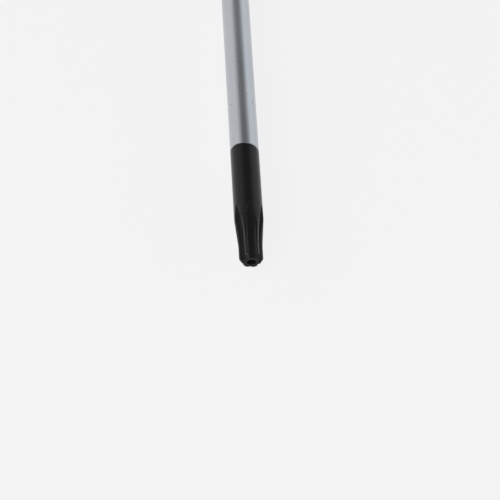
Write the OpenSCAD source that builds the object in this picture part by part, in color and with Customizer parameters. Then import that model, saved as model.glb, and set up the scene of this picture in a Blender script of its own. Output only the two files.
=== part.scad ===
// Precision screwdriver with a six-lobe tip, a pin bore in the tip and a ball-bearing swivel cap.
// The tool lies on its side: the tip points to +X, a flat of the hexagonal collar rests on Z = 0.
// Every piece is drawn along the tool's own axis, z = 0 at the end of the tip, and is then laid down.

/* [Blade] */
// Diameter of the round shank
shank_d = 4; // [3.7:0.1:4.6]
// Length of blade that stands out of the handle
blade_free = 60; // [40:1:100]
// Step of the blade's radius where it goes into the handle
tang_step = 0.3; // [0.15:0.05:0.5]
// Length of stepped blade that shows in front of the handle
tang_show = 0.4; // [0.2:0.1:1]
// Chamfer at the rear end of the blade
blade_end_chamfer = 0.6; // [0.2:0.1:1]
// Span across the two wings that lock the blade in the handle, inside the collar
wing_span = 6.4; // [5.6:0.1:8]
// Thickness of the wings
wing_t = 1.3; // [0.8:0.1:2]
// Length of the wings along the blade
wing_len = 6; // [4:0.5:9]
// Length of blade behind the wings
wing_back = 3; // [1:0.5:6]

/* [Tip] */
// Diameter across the lobes
lobe_d = 3.27; // [3:0.01:3.5]
// Diameter across the roots of the flutes
root_d = 2.18; // [2.15:0.01:2.5]
// Rounding radius of each lobe
lobe_r = 0.26; // [0.2:0.01:0.3]
// Length of tip with the full six-lobe section
star_len = 2.4; // [2:0.1:5]
// Length of the cone between tip and shank
neck_len = 4.3; // [2:0.1:6]
// Radius of the path on which the flutes run out of the shank
runout_r = 22; // [12:1:30]
// Length of the chamfer at the end of the tip
end_chamfer_len = 0.55; // [0.2:0.05:0.8]
// Depth of the chamfer at the end of the tip
end_chamfer_depth = 0.37; // [0.1:0.01:0.45]
// Diameter of the pin bore in the end of the tip
pin_bore_d = 1.25; // [1:0.05:1.6]
// Depth of the pin bore, up to its drill point
pin_bore_depth = 3; // [1.5:0.1:5]
// Turn of the flutes about the blade
star_turn = 7; // [0:1:60]

/* [Handle nose] */
// Diameter at the front edge of the nose
nose_front_d = 5.6; // [5:0.1:6.4]
// Diameter of the nose rim
nose_d = 6.8; // [6.6:0.1:7.2]
// Length of the nose up to the size ring
nose_len = 1.6; // [1:0.1:4]
// Outer diameter of the size ring
ring_d = 7.6; // [7.2:0.1:8]
// Wall of the size ring
ring_wall = 0.8; // [0.6:0.05:0.9]
// Length of the size ring
ring_len = 2.4; // [1.5:0.1:5]
// Diameter of the shoulder behind the size ring
shoulder_d = 8.2; // [8:0.1:8.8]
// Length of the shoulder behind the size ring
shoulder_len = 0.8; // [0.5:0.1:3]

/* [Precision grip] */
// Outer diameter of the precision grip
precision_d = 8.6; // [8.2:0.1:8.9]
// Wall of the precision grip
precision_wall = 1.1; // [0.9:0.05:1.3]
// Length of the precision grip
precision_len = 15; // [10:0.5:30]
// Number of ring grooves in the precision grip
precision_grooves = 7; // [3:1:8]
// Radius of each ring groove
groove_r = 0.5; // [0.3:0.05:0.6]
// Depth of each ring groove
groove_depth = 0.35; // [0.2:0.05:0.5]

/* [Anti-roll collar] */
// Distance across the flats of the hexagonal collar
hex_flats = 13; // [12.8:0.1:15]
// Length of the hexagonal collar
hex_len = 7; // [5:0.5:12]
// Flattening of the six corners of the collar
hex_corner_cut = 0.3; // [0.1:0.05:0.5]
// Radius of the cove between precision grip and collar
cove_r = 1.7; // [1:0.1:1.8]
// Length of the slope between collar and power grip
slope_len = 2.5; // [1.5:0.1:5]

/* [Power grip] */
// Diameter at the ends of the power grip
power_end_d = 10.8; // [10.4:0.1:11.4]
// Diameter at the middle of the power grip
power_mid_d = 12.2; // [11.8:0.1:12.4]
// Length of the power grip
power_len = 35; // [28:1:60]
// Wall of the power grip at its ends
power_wall = 1.1; // [0.8:0.1:1.6]
// Width of each hard land that shows through the grip
land_w = 2.4; // [1.6:0.1:3]
// Length of each hard land
land_len = 24; // [16:1:26]
// Height of the lands above the grip
land_proud = 0.12; // [0.05:0.01:0.2]
// Radius of the finger flutes between the lands
finger_r = 5; // [3.5:0.5:8]
// Depth of the finger flutes
finger_depth = 0.45; // [0.2:0.05:0.6]

/* [Spin grip and tail] */
// Length of the slope between power grip and spin grip
waist_len = 2.5; // [1.5:0.1:5]
// Outer diameter of the spin grip
spin_d = 9.6; // [9:0.1:10.4]
// Wall of the spin grip
spin_wall = 1; // [0.8:0.05:1.3]
// Length of the spin grip
spin_len = 10; // [6:0.5:20]
// Number of lengthwise grooves in the spin grip
spin_grooves = 20; // [12:1:22]
// Radius of each lengthwise groove
spin_groove_r = 0.5; // [0.3:0.05:0.55]
// Depth of each lengthwise groove
spin_groove_depth = 0.35; // [0.2:0.05:0.45]
// Diameter of the rim at the tail of the handle
tail_d = 11.2; // [10.6:0.1:11.8]
// Length of the rim at the tail of the handle
tail_len = 2.5; // [1.5:0.1:5]
// Diameter of the spigot that reaches into the cap
spigot_d = 8.2; // [7.4:0.1:8.6]
// Length of the spigot that reaches into the cap
spigot_len = 1.2; // [0.8:0.1:2]

/* [Swivel bearing] */
// Bore of the bearing
bearing_id = 3; // [2.6:0.1:3.2]
// Outer diameter of the bearing
bearing_od = 8; // [7.8:0.1:8.4]
// Width of the bearing
bearing_w = 3; // [2.6:0.1:4]
// Diameter of each ball
ball_d = 1.2; // [1:0.05:1.3]
// Number of balls
ball_count = 7; // [5:1:8]
// Thickness of the bearing shields
shield_t = 0.2; // [0.15:0.05:0.3]
// Thickness of the shim washer
shim_t = 0.3; // [0.2:0.05:0.6]
// Thickness of the retaining clip
clip_t = 0.6; // [0.4:0.05:0.8]
// Outer diameter of the retaining clip
clip_d = 6; // [5.4:0.1:6.2]
// Depth of the clip groove in the pivot pin
clip_groove = 0.35; // [0.2:0.05:0.5]
// Diameter of the flange on the pivot pin
flange_d = 4.4; // [4:0.1:4.6]
// Thickness of the flange on the pivot pin
flange_t = 0.8; // [0.5:0.1:1.5]
// Length of pivot pin pressed into the handle
pin_hold = 12; // [8:0.5:20]

/* [Swivel cap] */
// Outer diameter of the cap shell
cap_d = 12.6; // [12.4:0.1:12.8]
// Length of the cap shell
cap_len = 12.6; // [11.6:0.1:18]
// Rounding of the cap's rear edge
cap_round = 1.6; // [0.8:0.1:1.8]
// Chamfer of the cap's front edge
cap_chamfer = 0.5; // [0.2:0.1:0.8]
// Wall of the soft band on the cap
band_wall = 0.9; // [0.6:0.05:1.1]
// Length of the soft band on the cap
band_len = 6.5; // [4:0.1:7.2]
// Number of scallops round the band
scallops = 12; // [6:2:16]
// Radius of each scallop
scallop_r = 1.3; // [0.8:0.1:1.6]
// Depth of each scallop
scallop_depth = 0.4; // [0.2:0.05:0.5]
// Height of the lip that the bearing sits against in the cap
lip_h = 0.6; // [0.4:0.05:0.8]
// Diameter of the end cover
cover_d = 8.8; // [8.6:0.1:9.2]
// Thickness of the end cover at its rim
cover_t = 1.9; // [1.6:0.1:2.4]
// Wall of the skirt under the end cover
cover_skirt_wall = 0.6; // [0.4:0.05:0.8]
// Radius of the finger dish in the end cover
dish_r = 20; // [14:1:40]
// Diameter of the six-lobe mark pressed into the end cover
mark_d = 4.4; // [3:0.1:5.4]
// Depth of the six-lobe mark
mark_depth = 0.35; // [0.2:0.05:0.5]

/* [Fits] */
// Gap between pieces that are moulded, pressed or snapped together
fit_gap = 0.03; // [0.02:0.01:0.06]
// Gap between the turning cap and the handle
run_gap = 0.35; // [0.25:0.05:0.5]
// Gap between each ball and its groove or pocket
ball_gap = 0.03; // [0.02:0.01:0.05]

/* [Hidden] */
$fn = 64;

// Six lobes, six flutes, six flats on the collar and six lands, all on the same pitch
sides = 6;
pitch = 360 / sides;
// Reach of cutting shapes past the faces that they cut
over = 1;
// Facets of very large circles
arc_fn = 720;
// Slope of chamfers on sleeves and rims
edge = 0.3;

// Six-lobe section
shank_r = shank_d / 2;
// The round tops of the lobes are turned off by this much, which leaves a narrow land on each
lobe_trim = 0.02;
lobe_centre = lobe_d / 2 + lobe_trim - lobe_r;
root_r = root_d / 2;
half_cos = cos(pitch / 2);
tangent_r = (pow(lobe_centre, 2) + pow(root_r, 2) - 2 * lobe_centre * root_r * half_cos - pow(lobe_r, 2))
    / (2 * (lobe_r + lobe_centre * half_cos - root_r));
// Short straight flank between each lobe arc and flute arc
flank = 0.02;
flute_r = tangent_r - flank;
flute_centre = root_r + flute_r;
neck_end = star_len + neck_len;
wheel_centre = runout_r + root_r;
// Hair-thin step where the flutes start to lift, and the lead-in of the cutters before it in degrees
runout_step = 0.015;
runout_lead = 3;
// Each flute cutter fills its own sixth of the turn, less a hair on each side
wedge_half = pitch / 2 - 0.5;
runout_angle = runout_lead + acos(1 - (shank_r - root_r + over / 2) / runout_r);
drill_point = 59;

// Stations along the tool, from the end of the tip
nose_z = blade_free;
tang_z = nose_z - tang_show;
ring_z = nose_z + nose_len;
shoulder_z = ring_z + ring_len;
precision_z = shoulder_z + shoulder_len;
cove_z = precision_z + precision_len;
hex_z = cove_z + cove_r;
slope_z = hex_z + hex_len;
wing_end = hex_z + (hex_len + wing_len) / 2;
blade_end = wing_end + wing_back;
power_z = slope_z + slope_len;
power_mid = power_z + power_len / 2;
waist_z = power_z + power_len;
spin_z = waist_z + waist_len;
rim_z = spin_z + spin_len;
tail_z = rim_z + tail_len;
spigot_end = tail_z + spigot_len;
flange_end = spigot_end + flange_t;
race_z = flange_end + fit_gap;
ball_z = race_z + bearing_w / 2;
race_end = race_z + bearing_w;
shim_z = race_end + fit_gap;
clip_z = shim_z + shim_t + fit_gap;
pin_end = clip_z + 2 * clip_t + fit_gap;
cap_z = tail_z + run_gap;
cap_end = cap_z + cap_len;
lip_z = spigot_end + run_gap;
lip_end = race_z - fit_gap;
cover_z = cap_end - cover_t;
total_len = cap_end;

// Radii
tang_r = shank_r - tang_step;
rest_h = hex_flats / 2;
hex_corner_r = rest_h / half_cos;
ring_seat_r = ring_d / 2 - ring_wall - fit_gap;
precision_seat_r = precision_d / 2 - precision_wall - fit_gap;
power_seat_r = power_end_d / 2 - power_wall - fit_gap;
spin_seat_r = spin_d / 2 - spin_wall - fit_gap;
power_rise = (power_mid_d - power_end_d) / 2;
// Short cones that make up the barrel
barrel_steps = 12;
spigot_r = spigot_d / 2;
ball_pitch_r = (bearing_id + bearing_od) / 4;
// Half of the radial gap between the two races
land_half = ball_d / 3;
inner_land_r = ball_pitch_r - land_half;
outer_land_r = ball_pitch_r + land_half;
groove_ball_r = ball_d / 2 + ball_gap;
cage_wall = 2 * (land_half - 3 * ball_gap);
shield_seat_r = outer_land_r + ball_d / 4;
seat_r = bearing_od / 2 + fit_gap;
lip_r = bearing_od / 2 - lip_h;
pin_r = bearing_id / 2 - fit_gap / 3;
// The band's crests reach the surface that the collar's flat rests on
band_r = rest_h;
band_seat_r = band_r - band_wall - fit_gap;
band_z = cap_z + (cap_len - band_len) / 2;

// Hidden ribs that key the soft sleeves to the core
key_w = 0.9;
key_h = 0.4;

// Lays the standing tool on its side: the tip to +X, the collar's flat on Z = 0
module lay() {
    translate([total_len / 2, 0, rest_h])
        rotate([0, -90, 0])
            children();
}

module ring_of(count, turn = 0) {
    for (i = [0:count - 1])
        rotate([0, 0, turn + i * 360 / count])
            children();
}

// Solid of revolution between two radii, with its outer edges chamfered
module sleeve(inner, outer, z, length, chamfer) {
    rotate_extrude()
        polygon([
            [inner, z],
            [outer - chamfer, z],
            [outer, z + chamfer],
            [outer, z + length - chamfer],
            [outer - chamfer, z + length],
            [inner, z + length]
        ]);
}

// Six-lobe section: lobe arcs, short flanks and flute arcs. Lobes at the half pitch, flutes on the pitch
module six_lobe() {
    reach = 0.97 * lobe_r;
    flute_at = [flute_centre, 0];
    lobe_at = lobe_centre * [half_cos, sin(pitch / 2)];
    aim = (flute_at - lobe_at) / norm(flute_at - lobe_at);
    start = lobe_at + reach * aim;
    difference() {
        union() {
            polygon([
                for (i = [0:sides - 1])
                    for (side = [-1, 1])
                        let (turn = i * pitch)
                            [
                                start[0] * cos(turn) - side * start[1] * sin(turn),
                                start[0] * sin(turn) + side * start[1] * cos(turn)
                            ]
            ]);
            for (i = [0:sides - 1])
                rotate(pitch / 2 + i * pitch)
                    translate([lobe_centre, 0])
                        circle(lobe_r);
        }
        for (i = [0:sides - 1])
            rotate(i * pitch)
                translate([flute_centre, 0])
                    circle(flute_r);
    }
}

// What one flute cutter takes away: its sixth of the round, outside the six-lobe section
module flute_cut() {
    reach = shank_d;
    side = reach * tan(wedge_half);
    difference() {
        polygon([[0, 0], [reach, -side], [reach, side]]);
        six_lobe();
    }
}

// Cutter for the parallel part of all six flutes
module star_cutter() {
    translate([0, 0, -over])
        linear_extrude(star_len + over)
            difference() {
                circle(shank_d);
                six_lobe();
            }
}

// Cutters that lift the six flutes out of the shank on a circular path
module runout_cutters() {
    ring_of(sides)
        translate([wheel_centre + runout_step, 0, star_len])
            rotate([90, runout_lead, 180])
                rotate_extrude(angle = runout_angle, $fn = arc_fn)
                    translate([wheel_centre, 0])
                        mirror([1, 0])
                            flute_cut();
}

// Two wings pressed out of the shank, grown by a gap for their pocket in the handle
module blade_wings(gap = 0) {
    ramp = wing_len / 4;
    low = wing_end - wing_len - gap;
    high = wing_end + gap;
    tip = wing_span / 2 + gap;
    foot = shank_r / 2;
    rotate([90, 0, 0])
        linear_extrude(wing_t + 2 * gap, center = true)
            polygon([
                [-foot, low], [foot, low], [tip, low + ramp], [tip, high - ramp],
                [foot, high], [-foot, high], [-tip, high - ramp], [-tip, low + ramp]
            ]);
}

module blade() {
    tip_r = lobe_d / 2;
    bore_r = pin_bore_d / 2;
    color("silver")
        lay()
            difference() {
                union() {
                    difference() {
                        rotate_extrude()
                            polygon([
                                [0, 0],
                                [tip_r - end_chamfer_depth, 0],
                                [tip_r, end_chamfer_len],
                                [tip_r, star_len],
                                [shank_r, neck_end],
                                [shank_r, tang_z],
                                [tang_r, tang_z],
                                [tang_r, blade_end - blade_end_chamfer],
                                [tang_r - blade_end_chamfer, blade_end],
                                [0, blade_end]
                            ]);
                        rotate([0, 0, star_turn])
                            star_cutter();
                    }
                    blade_wings();
                }
                rotate([0, 0, star_turn])
                    runout_cutters();
                rotate_extrude()
                    polygon([
                        [0, -over],
                        [bore_r, -over],
                        [bore_r, pin_bore_depth],
                        [0, pin_bore_depth + bore_r / tan(drill_point)]
                    ]);
            }
}

// Ribs on the core that key a sleeve, grown by a gap for the slots inside the sleeve
module keys(seat_r, z, length, gap = 0) {
    ring_of(sides, pitch / 2)
        translate([seat_r / 2, -key_w / 2 - gap, z])
            cube([seat_r / 2 + key_h + gap, key_w + 2 * gap, length]);
}

// Half outline of the power grip's barrel, raised by a height above its surface
module barrel_outline(raise = 0) {
    mid_r = power_mid_d / 2 + raise;
    polygon(concat(
        [[0, power_z]],
        [
            for (i = [0:barrel_steps])
                let (t = i / barrel_steps)
                    [mid_r - power_rise * pow(2 * t - 1, 2), power_z + t * power_len]
        ],
        [[0, waist_z]]
    ));
}

// Six long round-ended blocks that stand out of the core through the power grip
module land_blocks(gap = 0) {
    wide = land_w + 2 * gap;
    ring_of(sides, pitch / 2)
        translate([0, 0, power_mid])
            rotate([0, 90, 0])
                linear_extrude(power_mid_d)
                    union() {
                        square([land_len - land_w, wide], center = true);
                        for (side = [-1, 1])
                            translate([side * (land_len - land_w) / 2, 0])
                                circle(d = wide);
                    }
}

module hex_collar() {
    start_r = rest_h - edge;
    outer_r = hex_corner_r - hex_corner_cut;
    slope_h = (outer_r - start_r) * tan(30);
    intersection() {
        translate([0, 0, hex_z])
            linear_extrude(hex_len)
                rotate(pitch / 2)
                    circle(hex_corner_r, $fn = sides);
        rotate_extrude()
            polygon([
                [0, hex_z],
                [start_r, hex_z],
                [outer_r, hex_z + slope_h],
                [outer_r, slope_z - slope_h],
                [start_r, slope_z],
                [0, slope_z]
            ]);
    }
}

// Turned outline of the core, from the nose to the spigot at its tail
module core_outline() {
    nose_r = nose_d / 2;
    shoulder_r = shoulder_d / 2;
    precision_r = precision_d / 2;
    slope_r = rest_h - edge;
    power_r = power_end_d / 2;
    spin_r = spin_d / 2;
    tail_r = tail_d / 2;
    polygon([
        [0, nose_z],
        [nose_front_d / 2, nose_z],
        [nose_r, nose_z + (nose_r - nose_front_d / 2)],
        [nose_r, ring_z],
        [ring_seat_r, ring_z],
        [ring_seat_r, shoulder_z],
        [ring_d / 2, shoulder_z],
        [shoulder_r, precision_z],
        [precision_seat_r, precision_z],
        [precision_seat_r, cove_z],
        [precision_r, cove_z],
        [precision_r, hex_z],
        [slope_r, hex_z],
        [slope_r, slope_z],
        [power_r, power_z],
        [power_seat_r, power_z],
        [power_seat_r, waist_z],
        [power_r, waist_z],
        [spin_r, spin_z],
        [spin_seat_r, spin_z],
        [spin_seat_r, rim_z],
        [spin_r, rim_z],
        [tail_r, rim_z + tail_len / 2],
        [tail_r, tail_z],
        [spigot_r, tail_z],
        [spigot_r, spigot_end],
        [0, spigot_end]
    ]);
    difference() {
        translate([0, cove_z])
            square([precision_r + cove_r, cove_r]);
        translate([precision_r + cove_r, cove_z])
            circle(cove_r);
    }
}

module handle_core() {
    color("dimgray")
        lay()
            difference() {
                union() {
                    rotate_extrude()
                        core_outline();
                    hex_collar();
                    keys(precision_seat_r, precision_z, precision_len);
                    keys(spin_seat_r, spin_z, spin_len);
                    intersection() {
                        land_blocks();
                        rotate_extrude()
                            barrel_outline(land_proud);
                    }
                }
                translate([0, 0, nose_z - over])
                    cylinder(r = tang_r + fit_gap, h = blade_end - nose_z + over + fit_gap);
                blade_wings(fit_gap);
                translate([0, 0, spigot_end - pin_hold - fit_gap])
                    cylinder(r = pin_r + fit_gap, h = pin_hold + over);
            }
}

module size_ring() {
    color("steelblue")
        lay()
            sleeve(ring_seat_r + fit_gap, ring_d / 2, ring_z + fit_gap, ring_len - 2 * fit_gap, edge / 2);
}

module precision_grip() {
    step = precision_len / (precision_grooves + 1);
    color("slategray")
        lay()
            difference() {
                sleeve(
                    precision_seat_r + fit_gap, precision_d / 2,
                    precision_z + fit_gap, precision_len - 2 * fit_gap, edge
                );
                rotate_extrude()
                    for (i = [1:precision_grooves])
                        translate([precision_d / 2 + groove_r - groove_depth, precision_z + i * step])
                            circle(groove_r);
                keys(precision_seat_r, precision_z - over, precision_len + 2 * over, fit_gap);
            }
}

module power_grip() {
    color("slategray")
        lay()
            difference() {
                rotate_extrude()
                    intersection() {
                        barrel_outline();
                        translate([power_seat_r + fit_gap, power_z + fit_gap])
                            square([power_mid_d, power_len - 2 * fit_gap]);
                    }
                land_blocks(fit_gap);
                ring_of(sides)
                    translate([power_mid_d / 2 + finger_r - finger_depth, 0, power_z - over])
                        cylinder(r = finger_r, h = power_len + 2 * over);
            }
}

module spin_grip() {
    color("slategray")
        lay()
            difference() {
                sleeve(
                    spin_seat_r + fit_gap, spin_d / 2,
                    spin_z + fit_gap, spin_len - 2 * fit_gap, edge
                );
                ring_of(spin_grooves)
                    translate([spin_d / 2 + spin_groove_r - spin_groove_depth, 0, spin_z - over])
                        cylinder(r = spin_groove_r, h = spin_len + 2 * over);
                keys(spin_seat_r, spin_z - over, spin_len + 2 * over, fit_gap);
            }
}

module pivot_pin() {
    tip = edge;
    groove_r0 = pin_r - clip_groove;
    groove_end = clip_z + clip_t + fit_gap;
    low = spigot_end - pin_hold;
    color("gainsboro")
        lay()
            rotate_extrude()
                polygon([
                    [0, low],
                    [pin_r - tip, low],
                    [pin_r, low + tip],
                    [pin_r, spigot_end + fit_gap],
                    [flange_d / 2, spigot_end + fit_gap],
                    [flange_d / 2, flange_end],
                    [pin_r, flange_end],
                    [pin_r, clip_z - fit_gap],
                    [groove_r0, clip_z - fit_gap],
                    [groove_r0, groove_end],
                    [pin_r, groove_end],
                    [pin_r, pin_end - tip],
                    [pin_r - tip, pin_end],
                    [0, pin_end]
                ]);
}

// Ring of the bearing between two radii, with the groove that the balls run in
module race_outline(inner, outer) {
    difference() {
        translate([inner, race_z])
            square([outer - inner, bearing_w]);
        translate([ball_pitch_r, ball_z])
            circle(groove_ball_r);
    }
}

module bearing_inner_race() {
    color("lightsteelblue")
        lay()
            rotate_extrude()
                race_outline(bearing_id / 2, inner_land_r);
}

module bearing_outer_race() {
    step = 2 * shield_t;
    color("lightsteelblue")
        lay()
            rotate_extrude()
                difference() {
                    race_outline(outer_land_r, bearing_od / 2);
                    translate([0, race_z - over])
                        square([shield_seat_r, step + over]);
                    translate([0, race_end - step])
                        square([shield_seat_r, step + over]);
                }
}

module bearing_shield(z) {
    inner = inner_land_r + ball_d / 8;
    outer = shield_seat_r - fit_gap;
    color("gainsboro")
        lay()
            translate([0, 0, z])
                difference() {
                    cylinder(r = outer, h = shield_t);
                    translate([0, 0, -over])
                        cylinder(r = inner, h = shield_t + 2 * over);
                }
}

module ball_cage() {
    web = 0.25;
    back = groove_ball_r + ball_gap + web;
    prong = ball_d / 4;
    color("ivory")
        lay()
            difference() {
                rotate_extrude()
                    translate([ball_pitch_r - cage_wall / 2, ball_z - back])
                        square([cage_wall, back + prong]);
                ring_of(ball_count)
                    translate([ball_pitch_r, 0, ball_z])
                        sphere(r = groove_ball_r + ball_gap);
            }
}

module bearing_ball(i) {
    color("white")
        lay()
            rotate([0, 0, (i - 1) * 360 / ball_count])
                translate([ball_pitch_r, 0, ball_z])
                    sphere(d = ball_d);
}

module shim_washer() {
    color("gold")
        lay()
            translate([0, 0, shim_z])
                difference() {
                    cylinder(r = inner_land_r - fit_gap, h = shim_t);
                    translate([0, 0, -over])
                        cylinder(r = pin_r + 2 * fit_gap, h = shim_t + 2 * over);
                }
}

// E-clip: a ring that is open at one side, with two relief notches beside its middle tooth
module retaining_clip() {
    hold_r = pin_r - clip_groove + fit_gap;
    mouth = 1.7 * hold_r;
    relief_r = clip_d / 8;
    relief_at = hold_r + relief_r / 2;
    color("gray")
        lay()
            translate([0, 0, clip_z])
                linear_extrude(clip_t)
                    difference() {
                        circle(d = clip_d);
                        circle(hold_r);
                        translate([0, -mouth / 2])
                            square([clip_d, mouth]);
                        for (side = [-1, 1])
                            rotate(side * 2 * pitch)
                                translate([relief_at, 0])
                                    circle(relief_r);
                    }
}

// Outline of the cap with a chamfered front edge and a rounded rear edge
module cap_outline() {
    outer = cap_d / 2;
    polygon([
        [0, cap_z],
        [outer - cap_chamfer, cap_z],
        [outer, cap_z + cap_chamfer],
        [outer, cap_end - cap_round],
        [outer - cap_round, cap_end - cap_round],
        [outer - cap_round, cap_end],
        [0, cap_end]
    ]);
    translate([outer - cap_round, cap_end - cap_round])
        circle(cap_round);
}

module cap_shell() {
    color("dimgray")
        lay()
            rotate_extrude()
                difference() {
                    intersection() {
                        cap_outline();
                        translate([0, cap_z])
                            square([cap_d, cap_len]);
                    }
                    translate([band_seat_r, band_z])
                        square([cap_d, band_len]);
                    translate([0, cap_z - over])
                        square([spigot_r + run_gap, lip_z - cap_z + over]);
                    translate([0, cap_z])
                        square([lip_r, cap_len]);
                    translate([0, lip_end])
                        square([seat_r, cap_len]);
                    translate([0, cover_z - fit_gap])
                        square([cover_d / 2 + fit_gap, cover_t + over]);
                }
}

module cap_grip() {
    color("slategray")
        lay()
            difference() {
                sleeve(band_seat_r + fit_gap, band_r, band_z + fit_gap, band_len - 2 * fit_gap, edge);
                ring_of(scallops, 180 / scallops)
                    translate([band_r + scallop_r - scallop_depth, 0, band_z - over])
                        cylinder(r = scallop_r, h = band_len + 2 * over);
            }
}

// Plug with a skirt that holds the bearing, a finger dish and a six-lobe mark with a round centre
module end_cover() {
    cover_r = cover_d / 2;
    skirt_r = bearing_od / 2 - fit_gap;
    dish_depth = dish_r - sqrt(pow(dish_r, 2) - pow(cover_r - edge, 2));
    mark_scale = mark_d / lobe_d;
    color("steelblue")
        lay()
            difference() {
                rotate_extrude()
                    polygon([
                        [0, cover_z],
                        [skirt_r - cover_skirt_wall, cover_z],
                        [skirt_r - cover_skirt_wall, race_end + fit_gap],
                        [skirt_r, race_end + fit_gap],
                        [skirt_r, cover_z],
                        [cover_r, cover_z],
                        [cover_r, cap_end],
                        [0, cap_end]
                    ]);
                translate([0, 0, cap_end - dish_depth + dish_r])
                    sphere(dish_r, $fn = arc_fn);
                translate([0, 0, cap_end - dish_depth - mark_depth])
                    linear_extrude(over + mark_depth)
                        difference() {
                            scale(mark_scale)
                                six_lobe();
                            circle(d = pin_bore_d * mark_scale);
                        }
            }
}

blade();
handle_core();
size_ring();
precision_grip();
power_grip();
spin_grip();
pivot_pin();
bearing_inner_race();
shim_washer();
retaining_clip();
cap_shell();
cap_grip();
end_cover();
bearing_outer_race();
bearing_shield(race_z + shield_t / 2);  // bearing_shield_front
bearing_shield(race_end - 3 * shield_t / 2);  // bearing_shield_rear
ball_cage();
for (i = [1:ball_count]) {
    bearing_ball(i);
}
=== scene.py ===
# %% [markdown]
# # A slim six-lobe screwdriver, dressed for its picture
#
# The tool lies on its side: the tip points to +X, and one flat of the six-sided collar rests on the
# floor. Its exact solids come from the frame, in metres, each in a node of its own. They could all be
# modelled again here, but they are right already, so their shapes are left alone. This lesson gives every
# piece the finish of the real one, and it models anew only the soft grips, whose edges are rounder than
# those of the solids.

# %% Load the frame
import math

import bpy
from mathutils import Matrix, Vector


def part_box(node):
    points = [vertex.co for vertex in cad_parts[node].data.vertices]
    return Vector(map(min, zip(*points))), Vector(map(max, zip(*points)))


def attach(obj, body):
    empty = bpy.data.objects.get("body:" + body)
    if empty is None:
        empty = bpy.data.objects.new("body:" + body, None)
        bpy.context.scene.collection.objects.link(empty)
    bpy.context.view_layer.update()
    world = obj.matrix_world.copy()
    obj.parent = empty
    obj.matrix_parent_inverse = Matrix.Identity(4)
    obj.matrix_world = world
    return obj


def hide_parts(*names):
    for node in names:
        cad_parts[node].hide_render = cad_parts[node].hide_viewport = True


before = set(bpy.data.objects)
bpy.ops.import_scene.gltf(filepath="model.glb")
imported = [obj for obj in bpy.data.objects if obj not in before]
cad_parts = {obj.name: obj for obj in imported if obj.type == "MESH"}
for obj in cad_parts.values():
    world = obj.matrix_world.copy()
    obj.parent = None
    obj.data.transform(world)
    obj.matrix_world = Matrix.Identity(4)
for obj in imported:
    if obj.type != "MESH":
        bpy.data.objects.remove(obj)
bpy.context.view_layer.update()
MM = 0.001

# %% [markdown]
# ## Where the tool lies
#
# The camera and the finish of the blade have to know where the blade is. Its place could be typed in, but
# then it would be wrong as soon as the solids change, so the end of the tip and the axis of the tool are
# measured from the box of the blade. A place along the tool is counted from the end of the tip, as a
# maker counts it.

# %% Measure the tool
blade_low, blade_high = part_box("blade")
tip_x = blade_high.x
axis_z = (blade_low.z + blade_high.z) / 2


def station(from_tip):
    """World x of the place this many metres behind the end of the tip."""
    return tip_x - from_tip


print("tip end at x =", round(tip_x / MM, 3), "mm, axis at z =", round(axis_z / MM, 3), "mm")

# %% [markdown]
# ## Camera
#
# The picture looks down on the tip from in front and above, with a long lens. A camera could be pushed
# about by eye until the picture fits, but three things in the picture give its place outright. How flat
# the round hole in the tip looks gives the camera's height, how much the shank narrows towards the top of
# the picture gives its distance, and the lean of the shank says that it stands a little to one side.

# %% Set up the camera
picture_px = 500
focal_px = 1760
tip_px = Vector((251.4, 262.3))
view_elevation = math.radians(58.3)
view_side = math.radians(-3.0)
view_depth = 235 * MM
sensor = 36

back = Vector((
    math.cos(view_elevation) * math.cos(view_side),
    math.cos(view_elevation) * math.sin(view_side),
    math.sin(view_elevation),
))
right = Vector((0, 0, 1)).cross(back).normalized()
up = back.cross(right)
tip_right = (tip_px.x - picture_px / 2) / focal_px
tip_below = (tip_px.y - picture_px / 2) / focal_px
tip_end = Vector((tip_x, 0, axis_z))

camera_data = bpy.data.cameras.new("camera")
camera_data.sensor_width = sensor
camera_data.lens = focal_px / picture_px * sensor
camera_data.clip_start = 1 * MM
camera_data.clip_end = 20
camera = bpy.data.objects.new("camera", camera_data)
bpy.context.scene.collection.objects.link(camera)
turn = Matrix((right, up, back)).transposed().to_4x4()
stand = tip_end + view_depth * (back - tip_right * right + tip_below * up)
camera.matrix_world = Matrix.Translation(stand) @ turn
bpy.context.scene.camera = camera
print("camera stands at", [round(c, 4) for c in stand], "lens", round(camera_data.lens, 1), "mm")

# %% [markdown]
# ## A kit for finishes
#
# A finish is a node material. Its nodes could be wired one by one in the shader editor, but the same few
# steps come back in every finish, so a small kit holds them: noise with a given grain, a range mapped to
# another, a blend of two colours, a bump, and a mask that finds sharp edges, where handling wears a piece
# first. Each finish reads the Object coordinates of its piece, so its grain keeps its real size and moves
# with the piece.

# %% The finish kit
noise_middle = (0.3, 0.7)
bevel_samples = 6


def add_node(tree, kind, inputs=None, **settings):
    """A new node in a node tree. Its settings are set, and each input is set or linked."""
    node = tree.nodes.new(kind)
    for name, value in settings.items():
        setattr(node, name, value)
    for socket, value in (inputs or {}).items():
        if isinstance(value, bpy.types.NodeSocket):
            tree.links.new(value, node.inputs[socket])
        else:
            node.inputs[socket].default_value = value
    return node


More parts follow.
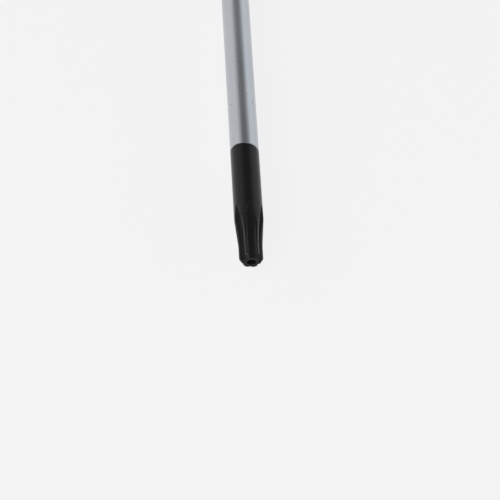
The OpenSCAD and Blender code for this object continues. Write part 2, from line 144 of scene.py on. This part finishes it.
class Finish:
    """A node material under work, with its surface shader and its object coordinates at hand."""

    def __init__(self, name, **sockets):
        self.material = bpy.data.materials.new(name)
        self.material.use_nodes = True
        self.tree = self.material.node_tree
        self.shader = self.tree.nodes["Principled BSDF"]
        for socket, value in sockets.items():
            self.shader.inputs[socket.replace("_", " ")].default_value = value
        self.place = self.add("ShaderNodeTexCoord").outputs["Object"]

    def add(self, kind, inputs=None, **settings):
        """A new node of this finish."""
        return add_node(self.tree, kind, inputs, **settings)

    def feed(self, socket, value):
        """Links a value to a socket of the surface shader."""
        self.tree.links.new(value, self.shader.inputs[socket])

    def noise(self, grain, detail=2.0, stretch=(1, 1, 1)):
        """Noise with grains this many metres across, drawn out by stretch along x, y and z."""
        scale = [1 / (grain * s) for s in stretch]
        placed = self.add("ShaderNodeMapping", {"Vector": self.place, "Scale": scale})
        inputs = {"Vector": placed.outputs["Vector"], "Scale": 1.0, "Detail": detail}
        return self.add("ShaderNodeTexNoise", inputs).outputs["Fac"]

    def span(self, value, low, high, start=0.0, end=1.0, smooth=False):
        """Maps low..high to start..end, and holds start and end beyond."""
        kind = "SMOOTHSTEP" if smooth else "LINEAR"
        inputs = {"Value": value, "From Min": low, "From Max": high, "To Min": start, "To Max": end}
        return self.add("ShaderNodeMapRange", inputs, interpolation_type=kind).outputs["Result"]

    def vary(self, noise, start, end):
        """Maps the middle of a noise, where most of its values lie, to start..end."""
        return self.span(noise, *noise_middle, start, end)

    def calc(self, operation, first, second):
        """One step of arithmetic."""
        return self.add("ShaderNodeMath", {0: first, 1: second}, operation=operation).outputs["Value"]

    def blend(self, share, first, second):
        """Colour that goes from first to second as share goes from 0 to 1."""
        colours = [c if isinstance(c, bpy.types.NodeSocket) else (*c, 1.0) for c in (first, second)]
        mix = self.add("ShaderNodeMix", {0: share, 6: colours[0], 7: colours[1]}, data_type="RGBA")
        return mix.outputs[2]

    def between(self, share, first, second):
        """Number that goes from first to second as share goes from 0 to 1."""
        mix = self.add("ShaderNodeMix", {0: share, 2: first, 3: second}, data_type="FLOAT")
        return mix.outputs[0]

    def rounded(self, radius):
        """Normal of the surface as if its edges had this radius."""
        return self.add("ShaderNodeBevel", {"Radius": radius}, samples=bevel_samples).outputs["Normal"]

    def relief(self, height, depth, strength=1.0, corner=None):
        """Bump of this depth in metres, from a height between 0 and 1. A corner radius rounds edges too."""
        inputs = {"Height": height, "Distance": depth, "Strength": strength}
        if corner:
            inputs["Normal"] = self.rounded(corner)
        self.feed("Normal", self.add("ShaderNodeBump", inputs).outputs["Normal"])

    def edges(self, radius, low=0.02, high=0.25):
        """1 on sharp edges and 0 on open faces, from how far a rounded normal leaves the plain one."""
        plain = self.add("ShaderNodeNewGeometry").outputs["Normal"]
        inputs = {0: self.rounded(radius), 1: plain}
        likeness = self.add("ShaderNodeVectorMath", inputs, operation="DOT_PRODUCT").outputs["Value"]
        return self.span(self.calc("SUBTRACT", 1.0, likeness), low, high)


def dress(finish, *nodes):
    """Gives CAD nodes a finish in their material slots."""
    for name in nodes:
        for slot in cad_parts[name].material_slots:
            slot.material = finish.material
    print(finish.material.name, "on", ", ".join(nodes))


print("finish kit ready, for", len(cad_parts), "pieces")

# %% [markdown]
# ## Where the blade is black
#
# The blade is a round steel rod with bright satin plating, and its front is blackened, so that the tip
# wears longer and shines less. The black could be a second material on some faces, but no face of the rod
# ends there. So one finish holds both, and a mask along the blade changes from plating to black. The
# front was dipped: the edge of the black is soft, bowed over the top of the rod, a little slanted, and
# not quite even.

# %% Where the blade is black
shank_r = 2.0 * MM
black_len = 18.15 * MM
black_bow = 0.40 * MM
black_slant = 0.08
black_soft = 0.10 * MM
black_ripple = black_soft / 3
ripple_grain = 0.6 * MM

steel = Finish("satin_plating_and_black_oxide", Specular_IOR_Level=0.16, Coat_Roughness=0.26, Coat_IOR=1.33)
spot = steel.add("ShaderNodeSeparateXYZ", {"Vector": steel.place}).outputs
along = spot["X"]
bow = steel.span(spot["Z"], axis_z, axis_z + shank_r, black_bow, 0.0)
slant = steel.calc("MULTIPLY", spot["Y"], black_slant)
ripple = steel.vary(steel.noise(ripple_grain), -black_ripple, black_ripple)
reach = steel.calc("SUBTRACT", along, station(black_len))
reach = steel.calc("SUBTRACT", reach, slant)
reach = steel.calc("SUBTRACT", reach, bow)
reach = steel.calc("ADD", reach, ripple)
black = steel.span(reach, -black_soft, black_soft, smooth=True)
print("black from the tip to", round(black_len / MM, 2), "mm")

# %% [markdown]
# ## Where the blade is milled
#
# Six flutes are milled into the black front, and they run out in pointed arches. The flutes stayed matt,
# while the round between them was ground smooth. A material on the faces of the flutes would end in a
# hard line, so a mask finds the flutes by how far they lie below the round of the rod, which narrows to
# the crests of the lobes. Screws burnish the lobes, so near the end the gloss reaches further down their
# sides.

# %% Where the blade is milled
lobe_out_r = 1.635 * MM
star_len = 2.4 * MM
neck_end = 6.7 * MM
milled_from = 0.025 * MM
milled_full = 0.07 * MM
burnish_start = 6.5 * MM
burnish_full = 4.5 * MM
burnish_reach = 7.0

height = steel.calc("SUBTRACT", spot["Z"], axis_z)
spoke = steel.add("ShaderNodeCombineXYZ", {"Y": spot["Y"], "Z": height}).outputs["Vector"]
radius = steel.add("ShaderNodeVectorMath", {0: spoke}, operation="LENGTH").outputs["Value"]
crest = steel.span(along, station(neck_end), station(star_len), shank_r, lobe_out_r)
depth = steel.calc("SUBTRACT", crest, radius)
burnish = steel.span(along, station(burnish_start), station(burnish_full), 1.0, burnish_reach)
milled = steel.span(steel.calc("DIVIDE", depth, burnish), milled_from, milled_full, smooth=True)
print("milled from", round(milled_from / MM, 3), "mm below the round")

# %% [markdown]
# ## Colours of the blade
#
# The plating is a pale metal whose tone drifts a little, with a few grey specks. The black is an oxide,
# nearly without colour of its own. One plain colour for each could do from afar, but close up a real skin
# is never even, so noise blends two colours for each. The plating is metal to the shader and the oxide
# isn't, so the same mask drives Metallic.

# %% Colours of the blade
plating_dark = (0.463, 0.482, 0.512)
plating_light = (0.522, 0.541, 0.572)
speck_grey = (0.30, 0.30, 0.31)
speck_from = (0.79, 0.86)
oxide_dark = (0.002, 0.002, 0.002)
oxide_light = (0.0045, 0.0045, 0.0045)
cloud_grain = 6 * MM
speck_grain = 0.45 * MM

cloud = steel.noise(cloud_grain, 3.0)
specks = steel.span(steel.noise(speck_grain, 0.0), *speck_from)
plating = steel.blend(specks, steel.blend(cloud, plating_dark, plating_light), speck_grey)
oxide = steel.blend(cloud, oxide_dark, oxide_light)
steel.feed("Base Color", steel.blend(black, plating, oxide))
steel.feed("Metallic", steel.span(black, 0.0, 1.0, 1.0, 0.0))
print("plating goes from", plating_dark, "to", plating_light)

# %% [markdown]
# ## Gloss of the blade
#
# The rod was polished along its length before it was plated, which leaves fine streaks. They could be
# modelled as scratches, but they are far too small, so noise stretched along the blade varies the
# roughness. The black has a thin clear coat, as oiled oxide has: strong on the burnished lobes and on the
# rubbed rims of the arches, weaker on the round and on the turned end, and nearly gone in the flutes. The
# solids have sharp edges, and cutting a round on each would be slow, so the shader rounds them, and they
# catch the light.

# %% Gloss of the blade
fine_grain = 0.08 * MM
streak_grain = 0.12 * MM
streak_stretch = (60, 1, 1)
satin_rough = (0.22, 0.30)
ground_rough = (0.30, 0.40)
matt_rough = 0.62
land_gloss = 0.43
lobe_gloss = 1.0
flute_gloss = 0.08
end_gloss = 0.25
end_fade = (station(0.55 * MM), station(0.35 * MM))
rim_width = 0.25 * MM
rim_turn = (0.002, 0.03)
rim_fade = (station(5.5 * MM), station(3.0 * MM))
streak_depth = 0.0006 * MM
steel_corner = 0.10 * MM

fine = steel.noise(fine_grain)
streaks = steel.noise(streak_grain, 4.0, streak_stretch)
satin = steel.vary(streaks, *satin_rough)
ground = steel.vary(fine, *ground_rough)
turned_end = steel.span(along, *end_fade)
matt = steel.between(steel.calc("MAXIMUM", milled, turned_end), ground, matt_rough)
steel.feed("Roughness", steel.between(black, satin, matt))
gloss = steel.span(burnish, 1.0, burnish_reach, land_gloss, lobe_gloss)
gloss = steel.calc("MULTIPLY", gloss, steel.span(along, *end_fade, 1.0, end_gloss))
gloss = steel.between(milled, gloss, flute_gloss)
rim = steel.edges(rim_width, *rim_turn)
rim = steel.calc("MULTIPLY", rim, steel.span(along, *rim_fade, 1.0, 0.0))
gloss = steel.calc("MAXIMUM", gloss, rim)
steel.feed("Coat Weight", steel.calc("MULTIPLY", black, gloss))
steel.feed("Coat Normal", steel.rounded(rim_width))
steel.relief(steel.between(black, streaks, fine), streak_depth, corner=steel_corner)
dress(steel, "blade")

# %% [markdown]
# ## Hard plastics
#
# The core of the handle and the shell of the cap are moulded in one hard black plastic. The mould was
# spark-eroded, so the skin has a fine even grain, and where hands rub the edges it turns a little paler
# and smoother. The size ring and the end cover are a smoother plastic in a plain blue, which tells the
# driver from others in its set. Two materials could be wired apart, but they differ only in colours and
# grain, so one recipe makes both.

# %% Finishes of the hard plastics
mottle_grain = 5 * MM
rubbed_edge = 0.18 * MM
patch_grain = 0.7 * MM
patch_middle = (0.35, 0.7)
patch_share = (0.1, 0.8)
plastic_corner = 0.15 * MM


def moulded_plastic(name, dark, light, worn, grain, grain_depth, smooth_at, rough_at):
    """Moulded skin: mottled between two colours, paler on its edges, with a grain of this size and depth."""
    finish = Finish(name, Specular_IOR_Level=0.45)
    skin = finish.noise(grain)
    mottle = finish.blend(finish.noise(mottle_grain, 3.0), dark, light)
    patches = finish.span(finish.noise(patch_grain), *patch_middle, *patch_share)
    rubbed = finish.calc("MULTIPLY", finish.edges(rubbed_edge), patches)
    finish.feed("Base Color", finish.blend(rubbed, mottle, worn))
    finish.feed("Roughness", finish.between(rubbed, finish.vary(skin, smooth_at, rough_at), smooth_at))
    finish.relief(skin, grain_depth, 0.6, corner=plastic_corner)
    return finish


core_black = moulded_plastic(
    "moulded_black", (0.018, 0.018, 0.019), (0.028, 0.028, 0.030), (0.075, 0.075, 0.078),
    grain=0.16 * MM, grain_depth=0.012 * MM, smooth_at=0.36, rough_at=0.50,
)
dress(core_black, "handle_core", "cap_shell")
code_blue = moulded_plastic(
    "size_code_blue", (0.018, 0.105, 0.34), (0.026, 0.135, 0.41), (0.07, 0.21, 0.50),
    grain=0.30 * MM, grain_depth=0.003 * MM, smooth_at=0.24, rough_at=0.34,
)
dress(code_blue, "size_ring", "end_cover")

# %% [markdown]
# ## Finish of the soft grips
#
# The sleeves and the cap's band are a soft rubber-like plastic, moulded over the core. It is matt,
# slightly paler on its rubbed edges, and it holds a little dust in its pores. A flat dark grey would look
# like the hard core, so a fine pebbled relief and a weak sheen at grazing angles make it look soft next
# to it.

# %% Finish of the soft grips
slate_dark = (0.068, 0.076, 0.088)
slate_light = (0.092, 0.102, 0.118)
slate_grain = 4 * MM
dust_grey = (0.15, 0.155, 0.16)
dust_share = 0.35
pore_grain = 0.10 * MM
pore_from = (0.60, 0.75)
rubbed_slate = (0.155, 0.165, 0.185)
rubbed_share = 0.45
rubbed_width = 0.25 * MM
rubber_rough = (0.60, 0.76)
pebble_grain = 0.22 * MM
pebble_depth = 0.024 * MM

rubber = Finish("soft_grip_slate", Specular_IOR_Level=0.35, Sheen_Weight=0.12, Sheen_Roughness=0.5)
pebbles = rubber.noise(pebble_grain)
pores = rubber.span(rubber.noise(pore_grain, 1.0), *pore_from)
slate = rubber.blend(rubber.noise(slate_grain, 4.0), slate_dark, slate_light)
slate = rubber.blend(rubber.calc("MULTIPLY", pores, dust_share), slate, dust_grey)
slate = rubber.blend(rubber.calc("MULTIPLY", rubber.edges(rubbed_width), rubbed_share), slate, rubbed_slate)
rubber.feed("Base Color", slate)
rubber.feed("Roughness", rubber.vary(pebbles, *rubber_rough))
rubber.relief(pebbles, pebble_depth, 0.9)
print("finish of the soft grips:", rubber.material.name)

# %% [markdown]
# ## Shapes of the soft grips
#
# The exact solids of the grips have knife-sharp edges, but soft plastic leaves its mould with rounded
# ones. Each grip could be turned anew from its outline, but its key slots, windows and scallops would all
# have to be cut again. So each is a copy of its solid instead: the loose triangles are merged, a voxel
# remesh rebuilds the skin in small even faces, passes of smoothing let every edge sag into a soft round,
# as the real rubber has, and the faces that flat stretches can spare are thinned out.

# %% Model the soft grips
even_face = 0.09 * MM
sag_share = 0.5
sag_passes = 12
kept_faces = 0.25
merge_within = 0.001 * MM


def soft_copy(node, body):
    """A copy of a solid with softly rounded edges, which takes the place of that solid."""
    piece = bpy.data.objects.new("soft_" + node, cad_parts[node].data.copy())
    bpy.context.scene.collection.objects.link(piece)
    bpy.ops.object.select_all(action="DESELECT")
    piece.select_set(True)
    bpy.context.view_layer.objects.active = piece
    bpy.ops.object.mode_set(mode="EDIT")
    bpy.ops.mesh.select_all(action="SELECT")
    bpy.ops.mesh.remove_doubles(threshold=merge_within)
    bpy.ops.object.mode_set(mode="OBJECT")
    even = piece.modifiers.new("even_faces", "REMESH")
    even.mode = "VOXEL"
    even.voxel_size = even_face
    sag = piece.modifiers.new("round_edges", "SMOOTH")
    sag.factor = sag_share
    sag.iterations = sag_passes
    thin = piece.modifiers.new("fewer_faces", "DECIMATE")
    thin.ratio = kept_faces
    for modifier in ("even_faces", "round_edges", "fewer_faces"):
        bpy.ops.object.modifier_apply(modifier=modifier)
    bpy.ops.object.shade_smooth()
    piece.data.materials.clear()
    piece.data.materials.append(rubber.material)
    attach(piece, body)
    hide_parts(node)
    print(piece.name, "has", len(piece.data.polygons), "faces")


for node, body in (
    ("precision_grip", "driver"),
    ("power_grip", "driver"),
    ("spin_grip", "driver"),
    ("cap_grip", "swivel_cap"),
):
    soft_copy(node, body)

# %% [markdown]
# ## Bearing and its fasteners
#
# Inside the cap a small ball bearing turns on a pin. Its pieces are seen only when the cap is opened, and
# one steel for all would go unnoticed, but each still has its own metal: ground races and balls, a turned
# pin, bright pressed shields, a blackened spring clip, a brass shim, and a cage of ivory nylon. They
# share one recipe: the tone drifts a little, and fine tool marks stretched along or around the piece
# change its gloss.

# %% Finishes of the bearing
drift_grain = 1.6 * MM
mark_grain = 0.06 * MM
mark_depth = 0.0012 * MM
polished_edge = 0.08 * MM
polished_share = 0.6
polished_gain = 1.25


def machined_metal(name, dark, light, stretch, smooth_at, rough_at, metal):
    """Metal or nylon between two tones, with tool marks drawn out by stretch along x, y and z."""
    finish = Finish(name, Metallic=metal)
    marks = finish.noise(mark_grain, 3.0, stretch)
    tone = finish.blend(finish.noise(drift_grain, 3.0), dark, light)
    polished = finish.calc("MULTIPLY", finish.edges(polished_edge), polished_share)
    bright = tuple(min(1.0, polished_gain * c) for c in light)
    finish.feed("Base Color", finish.blend(polished, tone, bright))
    finish.feed("Roughness", finish.vary(marks, smooth_at, rough_at))
    finish.relief(marks, mark_depth, 0.5)
    return finish


turned = (1, 12, 12)
rolled = (8, 8, 1)
even_marks = (1, 1, 1)
moulded = (2, 2, 2)
balls = sorted(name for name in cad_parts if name.startswith("bearing_ball_"))
for name, dark, light, stretch, smooth_at, rough_at, metal, pieces in (
    ("turned_pin_steel", (0.46, 0.46, 0.47), (0.56, 0.56, 0.57), turned, 0.24, 0.36, 1.0, ["pivot_pin"]),
    ("ground_race_steel", (0.54, 0.55, 0.56), (0.62, 0.63, 0.64), turned, 0.12, 0.22, 1.0,
     ["bearing_inner_race", "bearing_outer_race"]),
    ("pressed_shield_steel", (0.58, 0.59, 0.60), (0.66, 0.67, 0.68), rolled, 0.20, 0.32, 1.0,
     ["bearing_shield_front", "bearing_shield_rear"]),
    ("polished_ball_steel", (0.66, 0.67, 0.68), (0.72, 0.73, 0.74), even_marks, 0.05, 0.10, 1.0, balls),
    ("rolled_brass", (0.60, 0.40, 0.13), (0.72, 0.50, 0.19), rolled, 0.26, 0.38, 1.0, ["shim_washer"]),
    ("blackened_spring_steel", (0.035, 0.034, 0.034), (0.060, 0.058, 0.056), rolled, 0.32, 0.46, 0.7,
     ["retaining_clip"]),
    ("ivory_nylon", (0.66, 0.60, 0.46), (0.74, 0.69, 0.56), moulded, 0.40, 0.52, 0.0, ["ball_cage"]),
):
    dress(machined_metal(name, dark, light, stretch, smooth_at, rough_at, metal), *pieces)

# %% [markdown]
# ## Floor
#
# The tool lies on a plain pale sheet. A sheet that is only lit would turn grey at its far end, and more
# light would bleach the tool. So, seen by the camera or in a gloss, the sheet shows mostly its own
# paleness, and the rest of it is lit as usual and keeps a part of the tool's soft shadow.

# %% Floor
floor_pale = (0.897, 0.897, 0.906, 1)
floor_share = 0.9
floor_size = 6
floor_drop = 0.02 * MM

bpy.ops.object.select_all(action="DESELECT")
bpy.ops.mesh.primitive_plane_add(size=floor_size, location=(0, 0, -floor_drop))
floor = bpy.context.object
floor.name = "floor"
paper = bpy.data.materials.new("pale_paper")
paper.use_nodes = True
sheet = paper.node_tree
sheet.nodes.clear()
rays = add_node(sheet, "ShaderNodeLightPath").outputs
seen = rays["Is Camera Ray"]
for ray in ("Is Glossy Ray", "Is Transmission Ray"):
    seen = add_node(sheet, "ShaderNodeMath", {0: seen, 1: rays[ray]}, operation="MAXIMUM").outputs["Value"]
share = add_node(sheet, "ShaderNodeMath", {0: seen, 1: floor_share}, operation="MULTIPLY").outputs["Value"]
lit = add_node(sheet, "ShaderNodeBsdfDiffuse", {"Color": floor_pale}).outputs["BSDF"]
own = add_node(sheet, "ShaderNodeEmission", {"Color": floor_pale}).outputs["Emission"]
both = add_node(sheet, "ShaderNodeMixShader", {0: share, 1: lit, 2: own}).outputs["Shader"]
add_node(sheet, "ShaderNodeOutputMaterial", {"Surface": both})
floor.data.materials.append(paper)
print("floor is", round(floor.dimensions.x, 1), "m wide")

# %% [markdown]
# ## Room
#
# Bright metal shows the room around it. A plain white room would leave the shank flat and grey, so this
# one is pale low down and dim overhead, and the dim ceiling is the dark stripe along the top of the
# shank. Walls and a ceiling could be modelled, but a world that changes with the direction is simpler and
# has no corners. Its left is a little warmer than its right, and the ceiling is tilted, because the
# stripe lies a little off the middle.

# %% Room
room_low = 0.92
room_high = 0.14
room_left = (0.985, 0.95, 0.965, 1)
room_right = (1.055, 1.097, 1.135, 1)
ceiling_from = math.sin(math.radians(30))
ceiling_to = math.sin(math.radians(55))
ceiling_tilt = math.radians(6.7)

world = bpy.data.worlds.new("room")
bpy.context.scene.world = world
world.use_nodes = True
sky = world.node_tree
towards = add_node(sky, "ShaderNodeTexCoord").outputs["Generated"]
heading = add_node(sky, "ShaderNodeSeparateXYZ", {"Vector": towards}).outputs
sideways = add_node(sky, "ShaderNodeMapRange", {"Value": heading["Y"], "From Min": -1}).outputs["Result"]
sides = {0: sideways, 6: room_left, 7: room_right}
tint = add_node(sky, "ShaderNodeMix", sides, data_type="RGBA").outputs[2]
ceiling_up = (0, math.sin(ceiling_tilt), math.cos(ceiling_tilt))
rise = add_node(sky, "ShaderNodeVectorMath", {0: towards, 1: ceiling_up}, operation="DOT_PRODUCT")
levels = {
    "Value": rise.outputs["Value"], "From Min": ceiling_from, "From Max": ceiling_to,
    "To Min": room_low, "To Max": room_high,
}
level = add_node(sky, "ShaderNodeMapRange", levels, interpolation_type="SMOOTHSTEP").outputs["Result"]
background = sky.nodes["Background"].inputs
sky.links.new(tint, background["Color"])
sky.links.new(level, background["Strength"])
print("room goes from", room_low, "at the floor to", room_high, "overhead")

# %% [markdown]
# ## Lamp
#
# The room alone would light the black tip and the handle too dimly from in front. A small lamp would put
# hard glints on the lobes, so a large soft one stands in front of the tip, a little to one side, and its
# power is kept low enough for every colour to come out about as it is written.

# %% Lamp
lamp_size = 0.9
lamp_power = 9.0
lamp_away = 1.1
lamp_side = -0.25
lamp_elevation = math.radians(52)

lamp_data = bpy.data.lights.new("front_softbox", "AREA")
lamp_data.shape = "DISK"
lamp_data.size = lamp_size
lamp_data.energy = lamp_power
lamp = bpy.data.objects.new("front_softbox", lamp_data)
bpy.context.scene.collection.objects.link(lamp)
lamp.location = Vector((math.cos(lamp_elevation), lamp_side, math.sin(lamp_elevation))) * lamp_away
lamp.rotation_mode = "QUATERNION"
lamp.rotation_quaternion = lamp.location.to_track_quat("Z", "Y")
bpy.context.scene.view_settings.view_transform = "Standard"
print("lamp of", lamp_power, "W at", [round(c, 2) for c in lamp.location])
